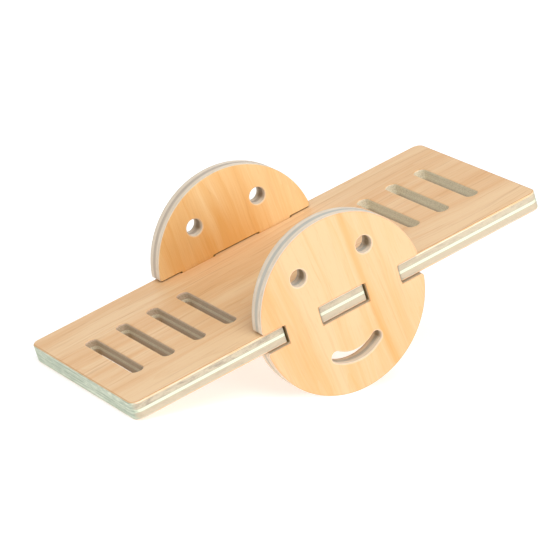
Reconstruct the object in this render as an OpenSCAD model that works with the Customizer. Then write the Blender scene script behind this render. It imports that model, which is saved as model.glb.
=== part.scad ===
// Small-pet seesaw: a slotted plywood board carried between two round smiling discs.
// The board's tenons sit in the discs' mortises and its wings sit in their side notches.
// It stands as it comes to rest: on both rims and on the lower edge of its left end.
// The origin is on the floor, midway between the places where the two rims touch it.

/* [Plywood] */
// Thickness of the plywood sheet
sheet_t = 8; // [6:0.5:12]
// Thickness of each outer face ply
face_ply_t = 0.9; // [0.5:0.1:1.3]
// Thickness of the core ply
core_ply_t = 1.4; // [0.8:0.1:2]

/* [Board] */
// Length of the board
board_l = 200; // [190:1:300]
// Width of the board over its wings and tenons
board_w = 93; // [86:1:140]
// Radius of the board's four corners
corner_r = 4; // [1:0.5:10]

/* [Grip slots] */
// Number of slots at each end of the board
slots_per_end = 4; // [1:1:4]
// Distance from the middle of the board to the first slot
slot_first = 38.5; // [37:0.5:44]
// Distance from one slot to the next
slot_pitch = 15; // [9:0.5:16]
// Width of a slot
slot_w = 5.4; // [3:0.2:7]
// Length of a slot over its round ends
slot_l = 46; // [20:1:60]

/* [Discs] */
// Diameter of the two discs
disc_d = 77.5; // [72:0.5:110]
// How far a disc stands out beyond the board's long edge
disc_proud = 1.5; // [0:0.1:3]

/* [Joints between board and discs] */
// Width of the tenon in the middle of each long edge
tenon_w = 22; // [14:0.5:30]
// Distance from the middle of a disc to the inner end of its side notches
notch_start = 27.7; // [24:0.1:33]
// Radius of the notch's corners where it opens at the rim
mouth_r = 1.5; // [0.5:0.1:3]
// Gap beside the tenon, at each end of the mortise
mortise_gap = 0.4; // [0.2:0.1:1.5]
// Gap between a wing's end and the inner end of its notch
wing_gap = 0.5; // [0.2:0.1:2]
// Gap between the board's faces and the walls of mortise and notches
slip_gap = 0.1; // [0.05:0.05:0.3]
// Gap between a disc's inner face and the board's shoulder
shoulder_gap = 0.1; // [0.05:0.05:0.3]

/* [Face] */
// Diameter of an eye
eye_d = 7.4; // [5:0.1:10]
// Distance from one eye to the other
eye_spacing = 32; // [24:1:36]
// Height of the eyes over the middle of the disc
eye_height = 20; // [16:0.5:22]
// Width of the smile
smile_w = 4.8; // [3:0.2:6]
// Radius of the curve that the smile follows
smile_r = 16; // [12:0.5:20]
// Angle from the middle of the smile to each end
smile_angle = 38; // [20:1:50]
// Depth of the smile's lowest point on its curve, under the middle of the disc
smile_depth = 23.3; // [20:0.1:26]

/* [Hidden] */

$fn = 96;
disc_r = disc_d / 2;
cross_ply_t = (sheet_t - 2 * face_ply_t - core_ply_t) / 2;
// Plies from one face of the sheet to the other, and the level at which each one starts
ply_t = [face_ply_t, cross_ply_t, core_ply_t, cross_ply_t, face_ply_t];
ply_level = [for (i = 0, at = -sheet_t / 2; i < len(ply_t); at = at + ply_t[i], i = i + 1) at];

// Where the discs stand along the board's width
disc_outer_y = board_w / 2 + disc_proud;
disc_inner_y = disc_outer_y - sheet_t;
shoulder_y = disc_inner_y - shoulder_gap;

// The cuts in a disc that take the board
opening_h = sheet_t + 2 * slip_gap;
mortise_w = tenon_w + 2 * mortise_gap;
wing_start = notch_start + wing_gap;
// Centre of the round corner that joins a notch's wall to the rim
mouth_y = opening_h / 2 + mouth_r;
mouth_x = sqrt(pow(disc_r - mouth_r, 2) - pow(mouth_y, 2));

// Tipped so far that the left end's lower edge is level with the bottom of the rims
half_diagonal = sqrt(pow(board_l / 2, 2) + pow(sheet_t / 2, 2));
tip_angle = asin(disc_r / half_diagonal) - atan(sheet_t / board_l);

face_colour = [0.94, 0.80, 0.62];
disc_face_colour = [0.98, 0.82, 0.58];
cross_colour = [0.80, 0.72, 0.58];
core_colour = [0.98, 0.96, 0.86];

// ---------- outlines ----------

module rounded_rectangle(length, width, radius) {
    square([length - 2 * radius, width], center = true);
    square([length, width - 2 * radius], center = true);
    for (x = [-1, 1], y = [-1, 1])
        translate([x * (length / 2 - radius), y * (width / 2 - radius)]) circle(r = radius);
}

// Slot that runs across the board, with half-round ends
module grip_slot() {
    straight = slot_l - slot_w;
    square([slot_w, straight], center = true);
    for (end = [-1, 1]) translate([0, end * straight / 2]) circle(d = slot_w);
}

// Space in the board's long edge, between the tenon and a wing, that a disc fills
module disc_pocket() {
    depth = board_w / 2 - shoulder_y;
    translate([tenon_w / 2, shoulder_y]) square([wing_start - tenon_w / 2, 2 * depth]);
}

module board_outline() {
    difference() {
        rounded_rectangle(board_l, board_w, corner_r);
        for (side = [0, 1]) mirror([side, 0]) {
            for (i = [0 : slots_per_end - 1]) translate([slot_first + i * slot_pitch, 0]) grip_slot();
            for (edge = [0, 1]) mirror([0, edge]) disc_pocket();
        }
    }
}

// What rounds one corner of a notch's mouth: everything outside a circle that touches
// both the notch's wall and the rim
module mouth_corner() {
    reach = disc_r + 2 * mouth_r;
    rim_x = reach * mouth_x / (disc_r - mouth_r);
    rim_y = reach * mouth_y / (disc_r - mouth_r);
    difference() {
        polygon([[mouth_x, mouth_y], [mouth_x, mouth_y - mouth_r], [reach, mouth_y - mouth_r], [rim_x, rim_y]]);
        translate([mouth_x, mouth_y]) circle(r = mouth_r);
    }
}

module side_notch() {
    translate([notch_start, -opening_h / 2]) square([disc_r, opening_h]);
    for (edge = [0, 1]) mirror([0, edge]) mouth_corner();
}

// Curved slot with half-round ends, cut along an arc about the smile's own centre
module smile() {
    reach = 2 * smile_r;
    translate([0, smile_r - smile_depth]) {
        intersection() {
            difference() {
                circle(r = smile_r + smile_w / 2);
                circle(r = smile_r - smile_w / 2);
            }
            polygon([
                [0, 0],
                [-reach * sin(smile_angle), -reach * cos(smile_angle)],
                [reach * sin(smile_angle), -reach * cos(smile_angle)]
            ]);
        }
        for (side = [-1, 1])
            translate([side * smile_r * sin(smile_angle), -smile_r * cos(smile_angle)]) circle(d = smile_w);
    }
}

module disc_outline() {
    difference() {
        circle(r = disc_r, $fn = 180);
        square([mortise_w, opening_h], center = true);
        for (side = [0, 1]) mirror([side, 0]) {
            side_notch();
            translate([eye_spacing / 2, eye_height]) circle(d = eye_d);
        }
        smile();
    }
}

// ---------- plies ----------

module tipped() {
    translate([0, 0, disc_r]) rotate([0, -tip_angle, 0]) children();
}

// Ply i of the board, counted from the bottom face
module board_ply(i) {
    tipped() translate([0, 0, ply_level[i]]) linear_extrude(ply_t[i]) board_outline();
}

// Ply i of the front disc, counted from its inner face
module front_disc_ply(i) {
    middle_y = (disc_inner_y + disc_outer_y) / 2;
    tipped() translate([0, -middle_y - ply_level[i], 0]) rotate([90, 0, 0])
        linear_extrude(ply_t[i]) disc_outline();
}

// The back disc is the front disc's mirror image
module back_disc_ply(i) {
    mirror([0, 1, 0]) front_disc_ply(i);
}

module board_bottom_ply() { color(face_colour) board_ply(0); }
module board_lower_cross_ply() { color(cross_colour) board_ply(1); }
module board_core_ply() { color(core_colour) board_ply(2); }
module board_upper_cross_ply() { color(cross_colour) board_ply(3); }
module board_top_ply() { color(face_colour) board_ply(4); }

module front_disc_inner_ply() { color(disc_face_colour) front_disc_ply(0); }
module front_disc_inner_cross_ply() { color(cross_colour) front_disc_ply(1); }
module front_disc_core_ply() { color(core_colour) front_disc_ply(2); }
module front_disc_outer_cross_ply() { color(cross_colour) front_disc_ply(3); }
module front_disc_outer_ply() { color(disc_face_colour) front_disc_ply(4); }

module back_disc_inner_ply() { color(disc_face_colour) back_disc_ply(0); }
module back_disc_inner_cross_ply() { color(cross_colour) back_disc_ply(1); }
module back_disc_core_ply() { color(core_colour) back_disc_ply(2); }
module back_disc_outer_cross_ply() { color(cross_colour) back_disc_ply(3); }
module back_disc_outer_ply() { color(disc_face_colour) back_disc_ply(4); }

board_top_ply();
board_upper_cross_ply();
board_core_ply();
board_lower_cross_ply();
board_bottom_ply();
front_disc_outer_ply();
front_disc_outer_cross_ply();
front_disc_core_ply();
front_disc_inner_cross_ply();
front_disc_inner_ply();
back_disc_outer_ply();
back_disc_outer_cross_ply();
back_disc_core_ply();
back_disc_inner_cross_ply();
back_disc_inner_ply();
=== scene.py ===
"""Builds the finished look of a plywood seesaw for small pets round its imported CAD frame.

Three flat panels of five-ply sheet make the toy: a slotted board, and two discs that plug onto tabs
at the middle of its long edges. Each ply is one piece, cut to its outline, with the outer edges of
the sheet rounded by sanding. The wood is drawn from each panel's own length, width and thickness.
"""

import math

import bmesh
import bpy
from mathutils import Euler, Matrix, Quaternion, Vector


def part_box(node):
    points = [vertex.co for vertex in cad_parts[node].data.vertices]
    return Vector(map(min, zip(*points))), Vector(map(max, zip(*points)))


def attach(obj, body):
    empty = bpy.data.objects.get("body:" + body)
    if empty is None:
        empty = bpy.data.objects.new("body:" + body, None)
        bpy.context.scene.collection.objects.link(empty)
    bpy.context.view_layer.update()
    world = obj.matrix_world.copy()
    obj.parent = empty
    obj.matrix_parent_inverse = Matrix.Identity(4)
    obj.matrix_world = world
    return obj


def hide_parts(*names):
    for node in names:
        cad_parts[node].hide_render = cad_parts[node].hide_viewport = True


bl_info = {
    "name": "Plywood Seesaw",
    "version": (1, 0, 0),
    "blender": (4, 5, 0),
    "location": "View3D > Sidebar > Seesaw",
    "description": "Builds a plywood seesaw for small pets, ply by ply",
    "category": "Add Mesh",
}

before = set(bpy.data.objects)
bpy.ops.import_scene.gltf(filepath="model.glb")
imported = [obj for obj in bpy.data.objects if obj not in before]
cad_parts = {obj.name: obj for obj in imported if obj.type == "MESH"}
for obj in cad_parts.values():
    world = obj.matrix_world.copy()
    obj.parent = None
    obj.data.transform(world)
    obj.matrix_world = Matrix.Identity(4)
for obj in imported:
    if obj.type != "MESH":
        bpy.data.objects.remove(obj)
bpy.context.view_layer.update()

MM = 0.001
MERGE_LIMIT = 0.001 * MM
PANEL_COUNT = 3
SEED_STEP = 7.31
RIM_STEPS = 240
SLOT_END_STEPS = 20
CORNER_STEPS = 10
EYE_STEPS = 56
SMILE_STEPS = 30
ARRIS_STEPS = 5
FIT_LIMIT = 0.0001
FLAT_NORMAL = 0.999
SMOOTH_ANGLE = math.radians(40.0)

# Wide stripes of a disc's faces: centre and half width across the grain in millimetres, and how much
# warmer the wood is there.
FRONT_STRIPES = (
    (-30.0, 7.0, 0.45), (-15.0, 7.0, -0.4), (-3.0, 6.0, -0.2), (11.0, 3.4, 0.5), (22.0, 5.0, 0.3),
)
BACK_STRIPES = ((-28.0, 9.0, 0.3), (-4.0, 4.0, 0.35), (13.0, 4.0, 0.2), (21.0, 7.0, -0.3))

# A painted shadow on the back disc's faces: a soft darker patch low down, standing for the shade that the
# front disc casts. Its place across and up, its reach in millimetres, its strength.
BACK_PAINTED_SHADOW = (-6.0, 2.0, 34.0, 0.9)

# How strongly each feature of the wood shows. The bands are a width in millimetres and a strength, and
# the lean turns the grain a little from the panel's own direction.
BOARD_FIGURE = {
    "lean": math.radians(2.0), "bands": (11.0, 0.5), "rings": 0.22, "fibres": 0.9, "streaks": 0.34,
    "wisps": 0.22, "threads": 0.9, "glue": 0.8, "arris_darkening": 0.6,
}
DISC_FIGURE = {
    "lean": math.radians(-5.0), "bands": (13.0, 0.36), "rings": 0.16, "fibres": 0.7, "streaks": 0.16,
    "wisps": 0.1, "threads": 0.7, "glue": 0.5, "arris_darkening": 0.1,
}
CLOUD_STRENGTH = 0.25
DASH_STRENGTH = 0.12
RING_COUNT = 5.0
BASE_TONE = -0.1
HOLE_SHADE_STRENGTH = 0.75
GAP_SHADE_STRENGTH = 0.85
ARRIS_HIGHLIGHT_STRENGTH = 0.3
SPECULAR_LEVEL = 0.35
BUMP_STRENGTH = 0.4
BUMP_DEPTH = 0.00012

# Each softbox: its name, place and side in metres, and the stage's setting that holds its power.
SOFTBOXES = (
    ("key_softbox", (0.42, -1.5, 0.36), 0.55, "key_power"),
    ("fill_softbox", (-1.3, -1.0, 0.7), 1.2, "fill_power"),
    ("top_softbox", (-0.2, -0.95, 1.25), 0.8, "top_power"),
    ("back_softbox", (0.5, 1.7, 0.5), 1.2, "back_power"),
)
LAMP_TARGET = (0.0, 0.0, 0.04)
FLOOR_HALF = 12.0
FLOOR_GLOW = 0.6
FLOOR_ROUGHNESS = 0.9
SENSOR_WIDTH = 36.0
CLIP_RANGE = (0.05, 50.0)

PLY_NAMES = {
    "board": ("bottom_ply", "lower_cross_ply", "core_ply", "upper_cross_ply", "top_ply"),
    "disc": ("outer_ply", "outer_cross_ply", "core_ply", "inner_cross_ply", "inner_ply"),
}
PIECE_NAMES = {
    "top_ply": "top_face_veneer",
    "bottom_ply": "bottom_face_veneer",
    "outer_ply": "outer_face_veneer",
    "inner_ply": "inner_face_veneer",
    "upper_cross_ply": "upper_cross_veneer",
    "lower_cross_ply": "lower_cross_veneer",
    "outer_cross_ply": "outer_cross_veneer",
    "inner_cross_ply": "inner_cross_veneer",
    "core_ply": "core_veneer",
}


def length(name, description, default):
    """A size property in metres, shown in the scene's length unit."""
    return bpy.props.FloatProperty(
        name=name, description=description, default=default, min=0.0, subtype="DISTANCE", unit="LENGTH",
        precision=5,
    )


def colour(name, description, default):
    """A colour property."""
    return bpy.props.FloatVectorProperty(
        name=name, description=description, default=default, min=0.0, max=1.0, size=3, subtype="COLOR",
    )


def power(name, description, default):
    """A lamp's power in watts."""
    return bpy.props.FloatProperty(
        name=name, description=description, default=default, min=0.0, subtype="POWER", unit="POWER",
    )


class SeesawSizes(bpy.types.PropertyGroup):
    """Sizes of the sheet, the board and the discs."""

    sheet_thickness: length("Sheet thickness", "Thickness of the plywood", 0.008)
    face_thickness: length("Face ply", "Thickness of each face veneer", 0.0009)
    core_thickness: length("Core ply", "Thickness of the core veneer", 0.0014)
    arris_radius: length("Arris radius", "Rounding sanded along the sheet's outer edges", 0.0006)
    board_length: length("Board length", "Length of the board along its grain", 0.2)
    board_width: length("Board width", "Width of the board at its ends", 0.093)
    corner_radius: length("Corner radius", "Radius of the board's four corners", 0.004)
    slot_first: length("First slot", "Distance from the middle to the nearest slot", 0.0385)
    slot_pitch: length("Slot pitch", "Distance from slot to slot", 0.015)
    slot_width: length("Slot width", "Width of each toe slot", 0.0054)
    slot_length: length("Slot length", "Length of each toe slot across the board", 0.046)
    slots_per_end: bpy.props.IntProperty(
        name="Slots per end", description="Number of toe slots in each half of the board", default=4, min=0,
        max=6,
    )
    disc_diameter: length("Disc diameter", "Diameter of each disc", 0.0775)
    disc_proud: length("Disc stands proud", "How far each disc stands out past the tabs", 0.0015)
    tab_width: length("Tab width", "Width of the tab that passes through each disc", 0.022)
    mortise_gap: length("Mortise clearance", "Free space beside each end of a tab", 0.0004)
    notch_start: length("Notch start", "Distance from a disc's middle to its side notches", 0.0277)
    wing_gap: length("Wing clearance", "Free space between a notch's end and the board", 0.0005)
    mouth_radius: length("Notch mouth radius", "Rounding where a notch meets the rim", 0.0015)
    slip_gap: length("Slip fit", "Free space over and under the board in a disc", 0.0001)
    shoulder_gap: length("Shoulder gap", "Free space between a disc and the board's shoulder", 0.0001)
    tab_corner: length("Tab corner", "Rounding of the tab and wing corners, seen from above", 0.0007)
    pocket_corner: length("Pocket corner", "Radius that the cutter leaves in the board's pockets", 0.0007)
    mortise_corner: length(
        "Mortise corner", "Radius that the cutter leaves in the corners of a mortise or a notch", 0.0012,
    )
    eye_diameter: length("Eye diameter", "Diameter of each eye hole", 0.0074)
    eye_spacing: length("Eye spacing", "Distance between the eye holes", 0.032)
    eye_height: length("Eye height", "Height of the eye holes above the disc's middle", 0.02)
    smile_width: length("Smile width", "Width of the curved mouth slot", 0.0048)
    smile_radius: length("Smile radius", "Radius of the mouth slot's middle line", 0.016)
    smile_depth: length(
        "Smile depth", "How far below the disc's middle the mouth's middle line dips", 0.0233,
    )
    smile_angle: bpy.props.FloatProperty(
        name="Smile angle", description="Half the angle that the mouth slot's middle line turns through",
        default=math.radians(38.0), min=0.0, max=math.pi / 2, subtype="ANGLE", unit="ROTATION",
    )

    def disc_radius(self):
        """Half the disc's diameter."""
        return self.disc_diameter / 2

    def tip(self):
        """Angle of the board when its low end rests on the floor."""
        half_length, half_sheet = self.board_length / 2, self.sheet_thickness / 2
        return math.asin(self.disc_radius() / math.hypot(half_length, half_sheet)) - math.atan(
            half_sheet / half_length
        )

    def tab_end(self):
        """Distance from the board's middle line to the end of a tab."""
        return self.board_width / 2

    def disc_outer(self):
        """Distance from the board's middle line to a disc's outer face."""
        return self.tab_end() + self.disc_proud

    def layers(self):
        """Start and end of each ply through the sheet, from one face to the other."""
        sheet, face, core = self.sheet_thickness, self.face_thickness, self.core_thickness
        marks = (-sheet / 2, -sheet / 2 + face, -core / 2, core / 2, sheet / 2 - face, sheet / 2)
        return list(zip(marks[:-1], marks[1:]))


class SeesawColours(bpy.types.PropertyGroup):
    """Colours of the veneers, the glue, the painted shade and light in holes and gaps, and the floor."""

    board_light: colour("Board, pale", "Palest wood of the board's faces", (0.90, 0.625, 0.355))
    board_dark: colour("Board, warm", "Warmer bands of the board's faces", (0.80, 0.455, 0.205))
    disc_light: colour("Front disc, pale", "Palest wood of the front disc's faces", (0.82, 0.493, 0.268))
    disc_dark: colour("Front disc, warm", "Warmer bands of the front disc's faces", (0.75, 0.36, 0.115))
    back_light: colour("Back disc, pale", "Palest wood of the back disc's faces", (0.86, 0.60, 0.30))
    back_dark: colour("Back disc, warm", "Warmer bands of the back disc's faces", (0.75, 0.39, 0.116))
    streak: colour("Streaks", "Thin darker streaks along the grain", (0.50, 0.20, 0.06))
    top_edge: colour("Board top, edge", "Edge of the board's top ply along the grain", (0.88, 0.71, 0.54))
    bottom_edge: colour(
        "Board bottom, edge", "Edge of the board's bottom ply along the grain", (0.67, 0.58, 0.47),
    )
    cross_upper: colour(
        "Upper cross, end grain", "Pale part of the upper cross ply's end grain", (0.58, 0.495, 0.36),
    )
    cross_lower: colour(
        "Lower cross, end grain", "Pale part of the lower cross ply's end grain", (0.56, 0.465, 0.335),
    )
    cross_pore: colour(
        "Board cross, pores", "Dark part of the cross plies' end grain", (0.26, 0.21, 0.17),
    )
    core_side: colour(
        "Board core, side grain", "Core ply where it shows along its grain", (0.76, 0.77, 0.58),
    )
    end_pale: colour("Board end, pale", "Pale lines of the board's two ends", (0.82, 0.85, 0.69))
    end_grey: colour("Board end, grey", "Grey-green wood of the board's two ends", (0.40, 0.465, 0.355))
    rim_pale: colour("Disc rim, pale", "Outer bands of a disc's rim", (0.86, 0.75, 0.61))
    rim_warm: colour("Disc rim, warm", "Softer parts of a rim's outer bands", (0.72, 0.59, 0.44))
    rim_core: colour(
        "Front rim, core", "Greyer band in the middle of the front disc's rim", (0.58, 0.555, 0.49),
    )
    back_rim_core: colour(
        "Back rim, core", "Browner band in the middle of the back disc's rim", (0.60, 0.49, 0.39),
    )
    rim_dark: colour("Disc rim, dark", "Darkest pores of a rim's middle band", (0.32, 0.30, 0.25))
    # Painted shade: the plies inside the toe slots are darker copies of their cut-edge colours.
    shaded_slot_face: colour("Slot wall, face plies", "Face plies inside the toe slots", (0.76, 0.55, 0.41))
    shaded_slot_cross: colour("Slot wall, cross plies", "Cross plies inside the toe slots", (0.58, 0.45, 0.32))
    shaded_slot_core: colour("Slot wall, core", "Core ply inside the toe slots", (0.78, 0.71, 0.55))
    # Painted light: the slot walls in the higher half of the board, lighter because more light reaches them
    # there.
    slot_painted_light: colour(
        "Slot wall, clean", "Walls of the slots in the higher half of the board", (0.94, 0.86, 0.66),
    )
    # Partly cutter brown, partly painted shade: the dark colour laid inside holes, slots and the joints'
    # narrow gaps.
    soot_and_shade: colour("Cut walls", "Brown that the cutter leaves inside holes and gaps", (0.18, 0.10, 0.018))
    glue: colour("Glue line", "Thin line of glue between the plies", (0.42, 0.43, 0.32))
    floor: colour("Floor", "Plain studio floor", (0.62, 0.62, 0.62))


class SeesawStage(bpy.types.PropertyGroup):
    """The camera's place and the lamps' power."""

    heading: bpy.props.FloatProperty(
        name="Camera heading", description="Turn of the view from straight across the board",
        default=math.radians(30.084), subtype="ANGLE", unit="ROTATION",
    )
    elevation: bpy.props.FloatProperty(
        name="Camera elevation", description="How far down the camera looks",
        default=math.radians(15.143), subtype="ANGLE", unit="ROTATION",
    )
    roll: bpy.props.FloatProperty(
        name="Camera roll", description="Turn of the camera about its own line of sight",
        default=math.radians(2.038), subtype="ANGLE", unit="ROTATION",
    )
    distance: length("Camera distance", "Distance from the camera to the point it looks at", 1.385)
    aim: bpy.props.FloatVectorProperty(
        name="Camera aim", description="The point that the camera looks at",
        default=(-0.00368, 0.00208, 0.03857), size=3, subtype="XYZ", unit="LENGTH", precision=5,
    )
    lens: bpy.props.FloatProperty(
        name="Lens", description="Focal length of the camera in millimetres", default=217.13, min=1.0,
    )
    key_power: power("Key lamp", "Power of the key softbox", 8.5)
    fill_power: power("Fill lamp", "Power of the fill softbox", 3.0)
    top_power: power("Top lamp", "Power of the overhead softbox", 11.0)
    back_power: power("Back lamp", "Power of the softbox behind the seesaw", 9.0)
    room_light: bpy.props.FloatProperty(
        name="Room light", description="Brightness of the room", default=0.45, min=0.0,
    )


class Pen:
    """Draws one closed outline in the XY plane, by pulling a vertex along lines and arcs."""

    def __init__(self, mesh, x, y):
        self.mesh = mesh
        self.start = self.point = mesh.verts.new((x, y, 0.0))

    def line(self, x, y):
        """Pulls the vertex straight to a place."""
        self.point = bmesh.ops.extrude_vert_indiv(self.mesh, verts=[self.point])["verts"][0]
        self.point.co = (x, y, 0.0)
        return self

    def arc(self, x, y, angle, steps):
        """Spins the vertex about a centre, anticlockwise for a positive angle."""
        spun = bmesh.ops.spin(
            self.mesh, geom=[self.point], cent=(x, y, 0.0), axis=(0.0, 0.0, 1.0), dvec=(0.0, 0.0, 0.0),
            angle=angle, steps=steps, use_merge=False, use_normal_flip=False, use_duplicate=False,
        )
        self.point = next(g for g in spun["geom_last"] if isinstance(g, bmesh.types.BMVert))
        return self

    def close(self):
        """Joins the last vertex to the first."""
        if (self.point.co - self.start.co).length < MERGE_LIMIT:
            bmesh.ops.weld_verts(self.mesh, targetmap={self.point: self.start})
        else:
            self.mesh.edges.new((self.point, self.start))


def draw_mortise(mesh, half_x, half_y, corner):
    """A rectangle centred on the origin, its corners left round by the cutter."""
    pen = Pen(mesh, half_x, corner - half_y)
    for x, y in ((1, 1), (-1, 1), (-1, -1), (1, -1)):
        if x == y:
            pen.line(x * half_x, y * (half_y - corner))
        else:
            pen.line(x * (half_x - corner), y * half_y)
        pen.arc(x * (half_x - corner), y * (half_y - corner), math.pi / 2, CORNER_STEPS)
    pen.close()


def draw_slot(mesh, x, width, reach):
    """A round-ended slot across the board, centred at x."""
    radius, straight = width / 2, (reach - width) / 2
    pen = Pen(mesh, x + radius, -straight).line(x + radius, straight)
    pen.arc(x, straight, math.pi, SLOT_END_STEPS).line(x - radius, -straight)
    pen.arc(x, -straight, math.pi, SLOT_END_STEPS).close()


def draw_pocket(pen, start, end, floor, corner):
    """The bottom of a pocket in the board's edge, its two inner corners left round by the cutter."""
    quarter = -math.pi / 2
    pen.line(start, floor + corner).arc(start - corner, floor + corner, quarter, CORNER_STEPS)
    pen.line(end + corner, floor).arc(end + corner, floor + corner, quarter, CORNER_STEPS)


def draw_board(mesh, size):
    """The board's outline: rounded corners, a tab in the middle of each long edge, and the toe slots."""
    end, edge, corner = size.board_length / 2, size.board_width / 2, size.corner_radius
    tab, tab_corner = size.tab_width / 2, size.tab_corner
    wing = size.notch_start + size.wing_gap
    shoulder = size.disc_outer() - size.sheet_thickness - size.shoulder_gap
    quarter = math.pi / 2
    pen = Pen(mesh, end, -edge + corner)
    for side in (1, -1):
        pen.line(side * end, side * (edge - corner))
        pen.arc(side * (end - corner), side * (edge - corner), quarter, CORNER_STEPS)
        pen.line(side * (wing + tab_corner), side * edge)
        pen.arc(side * (wing + tab_corner), side * (edge - tab_corner), quarter, CORNER_STEPS)
        draw_pocket(pen, side * wing, side * tab, side * shoulder, side * size.pocket_corner)
        pen.line(side * tab, side * (edge - tab_corner))
        pen.arc(side * (tab - tab_corner), side * (edge - tab_corner), quarter, CORNER_STEPS)
        pen.line(side * (tab_corner - tab), side * edge)
        pen.arc(side * (tab_corner - tab), side * (edge - tab_corner), quarter, CORNER_STEPS)
        draw_pocket(pen, -side * tab, -side * wing, side * shoulder, side * size.pocket_corner)
        pen.line(-side * wing, side * (edge - tab_corner))
        pen.arc(-side * (wing + tab_corner), side * (edge - tab_corner), quarter, CORNER_STEPS)
        pen.line(-side * (end - corner), side * edge)
        pen.arc(-side * (end - corner), side * (edge - corner), quarter, CORNER_STEPS)
    pen.close()
    for index in range(size.slots_per_end):
        for side in (-1, 1):
            middle = side * (size.slot_first + index * size.slot_pitch)
            draw_slot(mesh, middle, size.slot_width, size.slot_length)


def draw_disc(mesh, size):
    """A disc's outline: side notches, a mortise for the tab, two eyes and a smile."""
    radius, mouth = size.disc_radius(), size.mouth_radius
    half_gap = size.sheet_thickness / 2 + size.slip_gap
    mouth_y = half_gap + mouth
    mouth_x = math.sqrt((radius - mouth) ** 2 - mouth_y ** 2)
    lean = math.atan2(mouth_y, mouth_x)
    corner, quarter = size.mortise_corner, -math.pi / 2
    notch = size.notch_start
    pen = Pen(mesh, notch + corner, half_gap)
    for side in (1, -1):
        pen.line(side * mouth_x, side * half_gap)
        pen.arc(side * mouth_x, side * mouth_y, math.pi / 2 + lean, CORNER_STEPS)
        pen.arc(0.0, 0.0, math.pi - 2 * lean, RIM_STEPS // 2)
        pen.arc(-side * mouth_x, side * mouth_y, math.pi / 2 + lean, CORNER_STEPS)
        pen.line(-side * (notch + corner), side * half_gap)
        pen.arc(-side * (notch + corner), side * (half_gap - corner), quarter, CORNER_STEPS)
        pen.line(-side * notch, -side * (half_gap - corner))
        pen.arc(-side * (notch + corner), -side * (half_gap - corner), quarter, CORNER_STEPS)
    pen.close()
    draw_mortise(mesh, size.tab_width / 2 + size.mortise_gap, half_gap, corner)
    for side in (-1, 1):
        place = Matrix.Translation((side * size.eye_spacing / 2, size.eye_height, 0.0))
        bmesh.ops.create_circle(mesh, segments=EYE_STEPS, radius=size.eye_diameter / 2, matrix=place)
    draw_smile(mesh, size)


def draw_smile(mesh, size):
    """A curved slot with round ends, its middle line part of a circle."""
    middle, half = size.smile_radius, size.smile_width / 2
    turn, centre_y = size.smile_angle, size.smile_radius - size.smile_depth
    first = -math.pi / 2 - turn
    start = ((middle + half) * math.cos(first), centre_y + (middle + half) * math.sin(first))
    pen = Pen(mesh, *start).arc(0.0, centre_y, 2 * turn, SMILE_STEPS)
    right = (middle * math.sin(turn), centre_y - middle * math.cos(turn))
    pen.arc(*right, math.pi, SLOT_END_STEPS)
    pen.arc(0.0, centre_y, -2 * turn, SMILE_STEPS)
    pen.arc(-right[0], right[1], math.pi, SLOT_END_STEPS).close()


def round_arris(mesh, cap, radius):
    """Steps a flat cap inward and outward in turn, so that its border becomes a rounded edge."""
    quarter = math.pi / 2
    for step in range(ARRIS_STEPS):
        now, then = quarter * step / ARRIS_STEPS, quarter * (step + 1) / ARRIS_STEPS
        bmesh.ops.inset_region(
            mesh, faces=cap, use_boundary=True, use_even_offset=True,
            thickness=radius * (math.cos(now) - math.cos(then)), depth=0.0,
        )
        rise = radius * (math.sin(then) - math.sin(now))
        bmesh.ops.translate(mesh, vec=(0.0, 0.0, rise), verts=list({v for f in cap for v in f.verts}))


def cut_ply(draw, size, low, high, rounded):
    """One ply from low to high through the sheet. rounded is its outer side, 1 or -1, or 0 for neither."""
    mesh = bmesh.new()
    draw(mesh, size)
    bmesh.ops.remove_doubles(mesh, verts=mesh.verts[:], dist=MERGE_LIMIT)
    bmesh.ops.triangle_fill(mesh, use_beauty=True, use_dissolve=False, edges=mesh.edges[:])
    height = high - low - (size.arris_radius if rounded else 0.0)
    raised = bmesh.ops.extrude_face_region(mesh, geom=mesh.faces[:])["geom"]
    cap = [g for g in raised if isinstance(g, bmesh.types.BMFace)]
    bmesh.ops.translate(
        mesh, vec=(0.0, 0.0, height), verts=[g for g in raised if isinstance(g, bmesh.types.BMVert)]
    )
    if rounded:
        round_arris(mesh, cap, size.arris_radius)
    if rounded < 0:
        bmesh.ops.scale(mesh, vec=(1.0, 1.0, -1.0), verts=mesh.verts[:])
    bmesh.ops.translate(mesh, vec=(0.0, 0.0, high if rounded < 0 else low), verts=mesh.verts[:])
    bmesh.ops.recalc_face_normals(mesh, faces=mesh.faces[:])
    if any(len(edge.link_faces) != 2 for edge in mesh.edges):
        raise RuntimeError("a ply's outline did not close into a solid")
    return mesh


def finish_shading(mesh):
    """Smooth walls and rounded edges, with the flat caps kept flat."""
    for face in mesh.faces:
        face.smooth = abs(face.normal.z) < FLAT_NORMAL
    for edge in mesh.edges:
        flat = [not face.smooth for face in edge.link_faces]
        edge.smooth = not any(flat) and edge.calc_face_angle(0.0) < SMOOTH_ANGLE


def panel_to_world(size):
    """From a panel lying flat about the origin to the tipped seesaw on its floor."""
    return Matrix.Translation((0.0, 0.0, size.disc_radius())) @ Matrix.Rotation(-size.tip(), 4, "Y")


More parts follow.
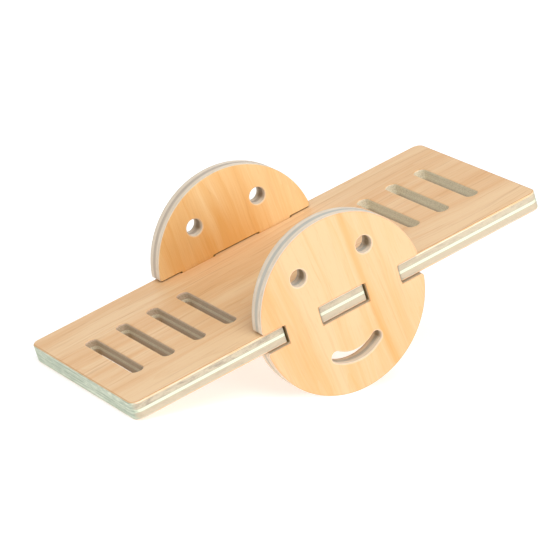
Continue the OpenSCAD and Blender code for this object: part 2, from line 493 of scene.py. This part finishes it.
def make_ply(draw, size, panel, ply, low, high, rounded, upright, wood):
    """Cuts a ply, sets it in its panel's place, gives it its finish and body, hides its CAD node and checks
    the fit against it.
    """
    mesh = cut_ply(draw, size, low, high, rounded)
    finish_shading(mesh)
    place = panel_to_world(size)
    if upright:
        stand = Matrix.Rotation(math.pi / 2, 4, "X")
        if upright > 0:
            stand = Matrix.Rotation(math.pi, 4, "Z") @ stand
        place = place @ stand
    bmesh.ops.transform(mesh, matrix=place, verts=mesh.verts[:])
    data = bpy.data.meshes.new(f"{panel}_{PIECE_NAMES[ply]}")
    mesh.to_mesh(data)
    mesh.free()
    data.materials.append(wood["finish"])
    piece = bpy.data.objects.new(data.name, data)
    bpy.context.scene.collection.objects.link(piece)
    node = f"{panel}_{ply}"
    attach(piece, panel)
    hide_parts(node)
    check_fit(piece, node, FIT_LIMIT + (size.arris_radius if rounded else 0.0))


def check_fit(piece, node, limit):
    """Stops with an error if a piece isn't the size and place of its CAD node, to within a limit."""
    low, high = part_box(node)
    corners = [vertex.co for vertex in piece.data.vertices]
    for axis in range(3):
        least = min(corner[axis] for corner in corners)
        most = max(corner[axis] for corner in corners)
        if max(abs(least - low[axis]), abs(most - high[axis])) > limit:
            raise RuntimeError(f"{piece.name} does not fit {node} along axis {axis}")


class Wire:
    """A shader socket that does sums: an expression on wires adds its Math nodes."""

    def __init__(self, shader, socket):
        self.shader = shader
        self.socket = socket

    def output(self, name):
        """Another output of the node that this wire comes from."""
        return Wire(self.shader, self.socket.node.outputs[name])

    def sum(self, operation, *values, clamp=False):
        """One Math node, this wire first."""
        settings = {"operation": operation, "use_clamp": clamp}
        return self.shader.node("Math", settings, dict(enumerate((self,) + values)))

    def __add__(self, other):
        return self.sum("ADD", other)

    def __sub__(self, other):
        return self.sum("SUBTRACT", other)

    def __mul__(self, other):
        return self.sum("MULTIPLY", other)

    def __rsub__(self, other):
        return self.shader.node("Math", {"operation": "SUBTRACT"}, {0: other, 1: self})

    def __abs__(self):
        return self.sum("ABSOLUTE")

    __radd__ = __add__
    __rmul__ = __mul__


class Shader:
    """A material being wired."""

    def __init__(self, name):
        self.material = bpy.data.materials.new(name)
        self.material.use_nodes = True
        self.tree = self.material.node_tree
        self.tree.nodes.clear()

    def node(self, kind, settings=None, sockets=None, out=0):
        """Adds a node, sets it up, then fills its sockets by values or wires; gives back one output."""
        made = self.tree.nodes.new(f"ShaderNode{kind}")
        for name, value in (settings or {}).items():
            setattr(made, name, value)
        for key, value in (sockets or {}).items():
            if isinstance(value, Wire):
                self.tree.links.new(value.socket, made.inputs[key])
            else:
                made.inputs[key].default_value = value
        return Wire(self, made.outputs[out]) if len(made.outputs) else None

    def mix(self, factor, first, second):
        """Colour first, or second where factor is 1."""
        colours = {6: as_colour(first), 7: as_colour(second)}
        return self.node("Mix", {"data_type": "RGBA"}, {0: factor, **colours}, out=2)

    def ramp(self, value, low, high):
        """0 at low, 1 at high, smooth between."""
        settings = {"interpolation_type": "SMOOTHSTEP", "clamp": True}
        return self.node("MapRange", settings, {0: value, 1: low, 2: high, 3: 0.0, 4: 1.0})

    def dip(self, value, low, high):
        """1 at low, 0 at high, smooth between."""
        return 1.0 - self.ramp(value, low, high)

    def dot(self, vector, direction):
        """How far a vector points along a direction, either way."""
        settings = {"operation": "DOT_PRODUCT"}
        return abs(self.node("VectorMath", settings, {0: vector, 1: direction}, out="Value"))


def as_colour(value):
    """A colour as a Mix node wants it."""
    return value if isinstance(value, Wire) else (*value[:3], 1.0)


def panel_axes(size, upright):
    """Directions of a panel's two long sides and its thickness, in the world."""
    turn = panel_to_world(size).to_3x3()
    x_axis, y_axis, z_axis = (turn @ Vector(v) for v in ((1, 0, 0), (0, 1, 0), (0, 0, 1)))
    return (x_axis, z_axis, y_axis) if upright else (x_axis, y_axis, z_axis)


class Grain:
    """A panel's own coordinates in millimetres: flat, and along and across its gently wandering grain."""

    def __init__(self, shader, size, look):
        self.shader = shader
        spot = shader.node("TexCoord", out="Object")
        middle, tilt = (0.0, 0.0, size.disc_radius()), Euler((0.0, -size.tip(), 0.0))
        place = {0: spot, 1: middle, 2: tilt, 3: (MM, MM, MM)}
        x = shader.node("SeparateXYZ", None, {0: shader.node("Mapping", {"vector_type": "TEXTURE"}, place)})
        y, z = x.output("Y"), x.output("Z")
        self.flat_x, self.flat_y, self.thick = (x, z, y) if look["upright"] else (x, y, z)
        axes = panel_axes(size, look["upright"])
        lengthwise = look["grain"] == "length"
        facing = spot.output("Normal")
        self.lengthwise = shader.ramp(shader.dot(facing, axes[0]), 0.5, 0.9)
        self.upness = shader.dot(facing, axes[1])
        self.flatness = shader.dot(facing, axes[2])
        self.endness = shader.ramp(shader.dot(facing, axes[0 if lengthwise else 1]), 0.3, 0.9)
        along, across = (self.flat_x, self.flat_y) if lengthwise else (self.flat_y, self.flat_x)
        cos, sin = math.cos(look["lean"]), math.sin(look["lean"])
        self.along = along * cos + across * sin
        self.across = across * cos - along * sin
        self.shift = look["seed"] * SEED_STEP
        self.across = self.across + (self.patch(80.0, 34.0, step=3.0, detail=1.0) - 0.5) * 10.0
        self.across = self.across + (self.patch(16.0, 9.0, step=5.0, detail=2.0) - 0.5) * 1.6

    def patch(self, along, across, thick=4.0, step=0.0, detail=2.0, roughness=0.5):
        """Noise in lumps of a length along, across and through the grain, in millimetres."""
        lumps = {
            0: self.along * (1 / along) + (self.shift + step),
            1: self.across * (1 / across) + (2 * self.shift - step),
            2: self.thick * (1 / thick) + self.shift,
        }
        place = self.shader.node("CombineXYZ", None, lumps)
        sockets = {"Vector": place, "Scale": 1.0, "Detail": detail, "Roughness": roughness}
        return self.shader.node("TexNoise", None, sockets)


def face_wood(shader, grain, tints, look):
    """Colour of a veneer's face: broad bands, growth rings, fibres, pores and streaks, and on the back disc
    a painted shadow.
    """
    bands = shader.ramp(grain.patch(260.0, look["bands"][0], step=11.0, detail=2.0), 0.36, 0.64)
    cloud = shader.ramp(grain.patch(70.0, 26.0, step=17.0, detail=2.0), 0.35, 0.65)
    rings = grain.patch(150.0, 15.0, thick=12.0, step=23.0, detail=1.0, roughness=0.4) * RING_COUNT
    rings = shader.ramp(rings.sum("FRACT"), 0.35, 1.0)
    fibre = grain.patch(20.0, 0.6, thick=0.8, step=29.0, detail=4.0, roughness=0.62)
    dash = shader.ramp(grain.patch(6.0, 0.5, thick=0.5, step=31.0, detail=2.0), 0.60, 0.74)
    streak = shader.ramp(grain.patch(30.0, 1.1, thick=2.0, step=37.0, detail=3.0), 0.58, 0.76)
    wisp = shader.ramp(grain.patch(75.0, 1.5, thick=3.0, step=53.0, detail=2.0), 0.60, 0.72)
    tone = bands * look["bands"][1] + cloud * CLOUD_STRENGTH + rings * look["rings"]
    tone = tone + (fibre - 0.5) * look["fibres"]
    # Painted shadow: a soft darker patch in the back disc's face colour, where the front disc shades it.
    if look["painted_shadow"]:
        across, up, reach, strength = look["painted_shadow"]
        x, y = grain.flat_x - across, grain.flat_y - up
        tone = tone + shader.dip((x * x + y * y).sum("SQRT"), 0.0, reach) * strength
    for centre, half_width, strength in look["stripes"]:
        tone = tone + shader.dip(abs(grain.across - centre), 0.0, half_width) * strength
    wood = shader.mix(tone.sum("ADD", BASE_TONE, clamp=True), look["light"], look["dark"])
    wood = shader.mix(streak * look["streaks"], wood, tints.streak)
    wood = shader.mix(wisp * look["wisps"], wood, tints.streak)
    return shader.mix(dash * DASH_STRENGTH, wood, tints.streak), fibre, dash


def cut_wood(shader, grain, look):
    """Colour of a veneer's cut edge, and its fine grit: fibres beside the grain, pores across it."""
    grit = grain.patch(0.55, 0.42, thick=0.38, step=41.0, detail=4.0, roughness=0.7)
    blotch = grain.patch(6.0, 5.0, thick=1.6, step=43.0, detail=3.0, roughness=0.62)
    layer = grain.patch(46.0, 36.0, thick=0.28, step=47.0, detail=2.0)
    pores = shader.ramp(grit * 0.35 + blotch * 0.5 + layer * 0.25, 0.47, 0.72)
    threads = shader.ramp(grit * 0.15 + blotch * 0.35 + layer * 0.5, 0.42, 0.62)
    upper = shader.ramp(grain.thick, -1.0, 1.0)
    fresh, pale = look["side"][0], look["end"][0]
    if "lower_side" in look:
        fresh = shader.mix(upper, look["lower_side"], fresh)
    if "lower_end" in look:
        pale = shader.mix(upper, look["lower_end"], pale)
        pores = pores * (0.3 + 0.7 * upper) * (1.0 - 0.6 * shader.ramp(grain.flat_x, -50.0, 10.0))
    side = shader.mix(threads * look["threads"], fresh, look["side"][1])
    end = shader.mix(pores, pale, look["end"][1])
    return shader.mix(grain.endness, side, end), grit


def recesses(shader, grain, size, look):
    """How far a point is inside the sheet's holes and slots, and inside the joints' narrow gaps, where
    shade is painted.

    Each is 0 outside and 1 inside. The widths over which they change are in millimetres.
    """
    x, y = abs(grain.flat_x), abs(grain.flat_y)
    deep = shader.dip(grain.flatness, 0.05, 0.4)
    half_sheet = size.sheet_thickness / MM / 2
    if look["upright"]:
        reach = (x * x + y * y).sum("SQRT")
        radius = size.disc_radius() / MM
        inside = shader.dip(reach, radius - 2.2, radius - 1.2)
        shaded_gap = shader.dip(y, half_sheet + 0.8, half_sheet + 0.9) * inside
        middle = abs(look["middle"])
        inner_side = shader.dip(abs(grain.thick), middle - 2.0, middle - 1.0)
        ends = 1.0 - 0.9 * shader.ramp(grain.upness, 0.5, 0.9)
        return inside * (1.0 - shaded_gap), shaded_gap * inner_side.sum("MAXIMUM", deep * ends)
    half_slot, half_board = size.slot_length / MM / 2, size.board_length / MM / 2
    slots = shader.dip(y, half_slot + 0.8, half_slot + 1.8)
    slots = slots * shader.dip(x, half_board - 8.0, half_board - 7.0)
    shoulder = (size.disc_outer() - size.sheet_thickness) / MM
    pockets = shader.ramp(y, shoulder - 0.3, shoulder) * shader.dip(y, shoulder + 4.0, shoulder + 5.6)
    wing = (size.notch_start + size.wing_gap) / MM
    pockets = pockets * shader.dip(x, wing + 0.2, wing + 1.2)
    return slots, pockets * deep


def joint_scorch_and_shade(shader, grain, size, middle):
    """How far a point of a disc's face is beside the mortise or a notch, where it is painted dark: partly
    the brown that the cut left, partly painted shade in the narrow gap.
    """
    x, y = abs(grain.flat_x), abs(grain.flat_y)
    opening = (size.sheet_thickness / 2 + size.slip_gap) / MM
    half_tab, start = size.tab_width / MM / 2, size.notch_start / MM
    mortise = shader.dip(x, half_tab + size.mortise_gap / MM, half_tab + 1.1)
    notch = shader.ramp(x, start - 0.3, start)
    inner = shader.dip(abs(grain.thick), middle - 1.0, middle + 1.0)
    reach = shader.dip(y - inner * 0.3, opening + 0.05, opening + 0.35)
    return reach * mortise.sum("MAXIMUM", notch) * (0.6 + 0.3 * inner)


def veneer(name, size, tints, look):
    """A veneer of one panel: its faces, its cut edges, its sanded arrises and its glue lines, with shade
    painted in its holes and gaps and a painted highlight on the arrises round a disc's holes.
    """
    shader = Shader(name)
    grain = Grain(shader, size, look)
    face, fibre, dash = face_wood(shader, grain, tints, look)
    cut, grit = cut_wood(shader, grain, look)
    wall = shader.dip(grain.flatness, 0.35, 0.85)
    depth = abs(grain.thick - look["middle"])
    half_core = size.core_thickness / MM / 2
    if look["upright"]:
        cut = shader.mix(shader.dip(depth, half_core, half_core + 1.1) * 0.7, cut, look["rim_core"])
    near_core = abs(depth - half_core)
    near_face = abs(depth - (size.sheet_thickness / 2 - size.face_thickness) / MM)
    line = shader.dip(near_core.sum("MINIMUM", near_face), 0.03, 0.17)
    line = line * shader.dip(grain.flatness, 0.1, 0.3)
    # Painted shade inside the holes: on a disc darkest in the middle of the sheet and least on walls facing
    # up or down; on the board darker towards the bottom of the slots.
    if look["upright"]:
        glue = tints.glue
        lit = 1.0 - 0.9 * shader.ramp(grain.upness, 0.55, 0.97)
        painted_hole_shade = (0.25 + 0.75 * shader.dip(depth, 0.8, 3.4)) * lit
    else:
        glue = shader.mix(grain.lengthwise, tints.glue, tints.end_pale)
        painted_hole_shade = shader.dip(grain.thick, -3.8, 0.6)
    cut = shader.mix(line * look["glue"], cut, glue)
    inside, shaded_gap = recesses(shader, grain, size, look)
    # Inside the slots the cut edge takes darker copies of the ply colours, mottled with more dark: painted
    # shade.
    if "shaded_slot_wall" in look:
        # Painted light: the slot walls grow paler towards the board's higher end and towards the top of the
        # sheet.
        painted_slot_light = shader.ramp(grain.flat_x, -20.0, 30.0) * shader.ramp(grain.thick, -4.6, 0.5)
        shaded_slot_wall = shader.mix(painted_slot_light * 0.8, look["shaded_slot_wall"], tints.slot_painted_light)
        gritty_shaded_wall = shader.mix(shader.ramp(grit, 0.42, 0.62) * 0.4, shaded_slot_wall, tints.soot_and_shade)
        cut = shader.mix(inside * (0.9 - line * 0.4), cut, gritty_shaded_wall)
    # Painted shade inside the holes and slots.
    cut = shader.mix(inside * HOLE_SHADE_STRENGTH * painted_hole_shade, cut, tints.soot_and_shade)
    band = shader.dip(grain.flatness, 0.985, 0.9995)
    # A darker band where a face turns into its rounded arris, left off the holes and, on the board, off its
    # end grain.
    arris_darkening = shader.ramp(grain.flatness, 0.70, 0.93) * band * (1 - inside)
    arris_darkening = arris_darkening if look["upright"] else arris_darkening * shader.dip(grain.endness, 0.0, 0.4)
    face = shader.mix(arris_darkening * look["arris_darkening"], face, tints.streak)
    wood = shader.mix(wall, face, cut)
    # Painted highlight: a pale ring on the rounded arrises round a disc's holes, where the rounding would
    # catch the light.
    if look["upright"]:
        painted_arris_highlight = shader.ramp(grain.flatness, 0.15, 0.5) * band * inside
        wood = shader.mix(painted_arris_highlight * ARRIS_HIGHLIGHT_STRENGTH, wood, tints.rim_pale)
    # Painted shade in the joints' narrow gaps, on their walls and rounded edges.
    wood = shader.mix(shaded_gap * shader.dip(grain.flatness, 0.9, 0.99) * GAP_SHADE_STRENGTH, wood, tints.soot_and_shade)
    # Partly cutter brown, partly painted shade beside the mortise and the notches.
    if look["upright"]:
        wood = shader.mix(joint_scorch_and_shade(shader, grain, size, abs(look["middle"])), wood, tints.soot_and_shade)
    roughness = 0.55 + (fibre - 0.5) * 0.3 + grain.endness * wall * 0.15
    relief = fibre * 0.5 - dash * 0.35 - line * 0.5 + wall * grain.endness * (grit - 0.5) * 0.7
    bump = {"Strength": BUMP_STRENGTH, "Distance": BUMP_DEPTH, "Height": relief}
    parts = {
        "Base Color": wood, "Roughness": roughness, "Normal": shader.node("Bump", None, bump),
        "Specular IOR Level": SPECULAR_LEVEL,
    }
    shader.node("OutputMaterial", None, {"Surface": shader.node("BsdfPrincipled", None, parts)})
    return shader.material


def panel_look(size, tints, upright):
    """What the veneers of one panel share: its place, its wood and how strongly each feature shows."""
    return dict(
        DISC_FIGURE if upright else BOARD_FIGURE,
        upright=bool(upright),
        middle=upright * (size.disc_outer() - size.sheet_thickness / 2) / MM,
        light={-1: tints.disc_light, 0: tints.board_light, 1: tints.back_light}[upright],
        dark={-1: tints.disc_dark, 0: tints.board_dark, 1: tints.back_dark}[upright],
        rim_core=tints.back_rim_core if upright > 0 else tints.rim_core,
        stripes={-1: FRONT_STRIPES, 0: (), 1: BACK_STRIPES}[upright],
        painted_shadow=BACK_PAINTED_SHADOW if upright > 0 else None,
    )


def disc_cuts(tints, rim_core):
    """Colours of a disc's cut edges, ply by ply: the fresh wood and its darker part."""
    pale, core = (tints.rim_pale, tints.rim_warm), (rim_core, tints.rim_dark)
    return {
        "face": {"side": pale, "end": pale},
        "cross": {"side": pale, "end": pale},
        "core": {"side": core, "end": core},
    }


def board_cuts(tints):
    """Colours of the board's cut edges and slots, ply by ply; the lower plies have some of their own."""
    ends = (tints.end_grey, tints.end_pale)
    return {
        "face": {
            "side": (tints.top_edge, tints.board_dark), "lower_side": tints.bottom_edge, "end": ends,
            "shaded_slot_wall": tints.shaded_slot_face,
        },
        "cross": {
            "side": ends, "end": (tints.cross_upper, tints.cross_pore), "lower_end": tints.cross_lower,
            "shaded_slot_wall": tints.shaded_slot_cross,
        },
        "core": {"side": (tints.core_side, tints.core_side), "end": ends, "shaded_slot_wall": tints.shaded_slot_core},
    }


def panel_finishes(panel, size, tints, upright, seed):
    """The three veneers of a panel's sheet: its faces, its cross plies and its core."""
    shared = panel_look(size, tints, upright)
    cuts = disc_cuts(tints, shared["rim_core"]) if upright else board_cuts(tints)
    with_grain, against = ("width", "length") if upright else ("length", "width")
    kind = "disc" if upright else "board"
    slots = {"face": f"{kind}_face_veneer", "cross": "cross_veneer", "core": "core_veneer"}
    finishes = {}
    for number, (ply, slot) in enumerate(slots.items()):
        grain = against if ply == "cross" else with_grain
        look = dict(shared, seed=seed + PANEL_COUNT * number, grain=grain, **cuts[ply])
        finishes[ply] = {"slot": slot, "finish": veneer(f"{panel}_{ply}_wood", size, tints, look)}
    return finishes


def build_panel(context, panel, draw, upright, seed):
    """Cuts and finishes a panel's five plies.

    upright is 0 for the board, which lies flat, -1 for the front disc and 1 for the back disc.
    """
    size, tints = context.scene.seesaw_sizes, context.scene.seesaw_colours
    finishes = panel_finishes(panel, size, tints, upright, seed)
    centre = size.disc_outer() - size.sheet_thickness / 2 if upright else 0.0
    names = PLY_NAMES["disc"][::-1] if upright else PLY_NAMES["board"]
    for index, (ply, (low, high)) in enumerate(zip(names, size.layers())):
        rounded = {0: -1, len(names) - 1: 1}.get(index, 0)
        wood = finishes["face" if rounded else "core" if "core" in ply else "cross"]
        make_ply(draw, size, panel, ply, low + centre, high + centre, rounded, upright, wood)


class BuildBoard(bpy.types.Operator):
    """Cut the slotted board's five plies"""

    bl_idname = "seesaw.build_board"
    bl_label = "Board"
    bl_options = {"REGISTER", "UNDO"}

    def execute(self, context):
        build_panel(context, "board", draw_board, upright=0, seed=1)
        return {"FINISHED"}


class BuildFrontDisc(bpy.types.Operator):
    """Cut the front disc's five plies"""

    bl_idname = "seesaw.build_front_disc"
    bl_label = "Front disc"
    bl_options = {"REGISTER", "UNDO"}

    def execute(self, context):
        build_panel(context, "front_disc", draw_disc, upright=-1, seed=2)
        return {"FINISHED"}


class BuildBackDisc(bpy.types.Operator):
    """Cut the back disc's five plies"""

    bl_idname = "seesaw.build_back_disc"
    bl_label = "Back disc"
    bl_options = {"REGISTER", "UNDO"}

    def execute(self, context):
        build_panel(context, "back_disc", draw_disc, upright=1, seed=3)
        return {"FINISHED"}


def add_floor(tint):
    """A plain matt floor under the seesaw."""
    mesh = bmesh.new()
    bmesh.ops.create_grid(mesh, x_segments=1, y_segments=1, size=FLOOR_HALF)
    data = bpy.data.meshes.new("studio_floor")
    mesh.to_mesh(data)
    mesh.free()
    shader = Shader("floor_paper")
    paper = {
        "Base Color": (*tint, 1.0), "Roughness": FLOOR_ROUGHNESS,
        "Emission Color": (1.0, 1.0, 1.0, 1.0), "Emission Strength": FLOOR_GLOW,
    }
    shader.node("OutputMaterial", None, {"Surface": shader.node("BsdfPrincipled", None, paper)})
    data.materials.append(shader.material)
    floor = bpy.data.objects.new("studio_floor", data)
    bpy.context.scene.collection.objects.link(floor)


def add_softbox(name, place, side, watts):
    """A square area lamp that faces the middle of the seesaw."""
    lamp = bpy.data.lights.new(name, "AREA")
    lamp.shape = "SQUARE"
    lamp.size = side
    lamp.energy = watts
    holder = bpy.data.objects.new(name, lamp)
    holder.location = place
    holder.rotation_euler = (Vector(LAMP_TARGET) - Vector(place)).to_track_quat("-Z", "Y").to_euler()
    bpy.context.scene.collection.objects.link(holder)


def add_camera(setup):
    """The camera, looking at its aim point from its heading and elevation."""
    heading, elevation = setup.heading, setup.elevation
    level = math.cos(elevation)
    ahead = Vector((math.sin(heading) * level, math.cos(heading) * level, -math.sin(elevation)))
    data = bpy.data.cameras.new("camera")
    data.lens = setup.lens
    data.sensor_width = SENSOR_WIDTH
    data.clip_start, data.clip_end = CLIP_RANGE
    camera = bpy.data.objects.new("camera", data)
    camera.location = Vector(setup.aim) - ahead * setup.distance
    camera.rotation_mode = "QUATERNION"
    camera.rotation_quaternion = ahead.to_track_quat("-Z", "Y") @ Quaternion((0.0, 0.0, 1.0), setup.roll)
    bpy.context.scene.collection.objects.link(camera)
    bpy.context.scene.camera = camera


class SetStage(bpy.types.Operator):
    """Add the floor, the soft studio lamps and the camera"""

    bl_idname = "seesaw.set_stage"
    bl_label = "Stage"
    bl_options = {"REGISTER", "UNDO"}

    def execute(self, context):
        setup = context.scene.seesaw_stage
        add_floor(context.scene.seesaw_colours.floor)
        for name, place, side, setting in SOFTBOXES:
            add_softbox(name, place, side, getattr(setup, setting))
        world = bpy.data.worlds.new("studio_room")
        world.use_nodes = True
        world.node_tree.nodes["Background"].inputs["Color"].default_value = (1.0, 1.0, 1.0, 1.0)
        world.node_tree.nodes["Background"].inputs["Strength"].default_value = setup.room_light
        context.scene.world = world
        context.scene.view_settings.view_transform = "Standard"
        add_camera(setup)
        return {"FINISHED"}


STEPS = (BuildBoard, BuildFrontDisc, BuildBackDisc, SetStage)


class SeesawPanel(bpy.types.Panel):
    """Buttons and settings of the seesaw in the sidebar"""

    bl_idname = "VIEW3D_PT_seesaw"
    bl_label = "Plywood Seesaw"
    bl_space_type = "VIEW_3D"
    bl_region_type = "UI"
    bl_category = "Seesaw"

    def draw(self, context):
        for step in STEPS:
            self.layout.operator(step.bl_idname)
        for title, group in (
            ("Sizes", context.scene.seesaw_sizes), ("Colours", context.scene.seesaw_colours),
            ("Stage", context.scene.seesaw_stage),
        ):
            box = self.layout.box()
            box.label(text=title)
            for name in group.__annotations__:
                box.prop(group, name)


CLASSES = (SeesawSizes, SeesawColours, SeesawStage, *STEPS, SeesawPanel)


def register():
    """Registers the classes and gives every scene its settings."""
    for cls in CLASSES:
        bpy.utils.register_class(cls)
    bpy.types.Scene.seesaw_sizes = bpy.props.PointerProperty(type=SeesawSizes)
    bpy.types.Scene.seesaw_colours = bpy.props.PointerProperty(type=SeesawColours)
    bpy.types.Scene.seesaw_stage = bpy.props.PointerProperty(type=SeesawStage)


def unregister():
    """Takes the settings and classes away again."""
    for name in ("seesaw_stage", "seesaw_colours", "seesaw_sizes"):
        delattr(bpy.types.Scene, name)
    for cls in reversed(CLASSES):
        bpy.utils.unregister_class(cls)


def main():
    register()
    bpy.ops.seesaw.build_board()
    bpy.ops.seesaw.build_front_disc()
    bpy.ops.seesaw.build_back_disc()
    bpy.ops.seesaw.set_stage()


if __name__ == "__main__":
    main()
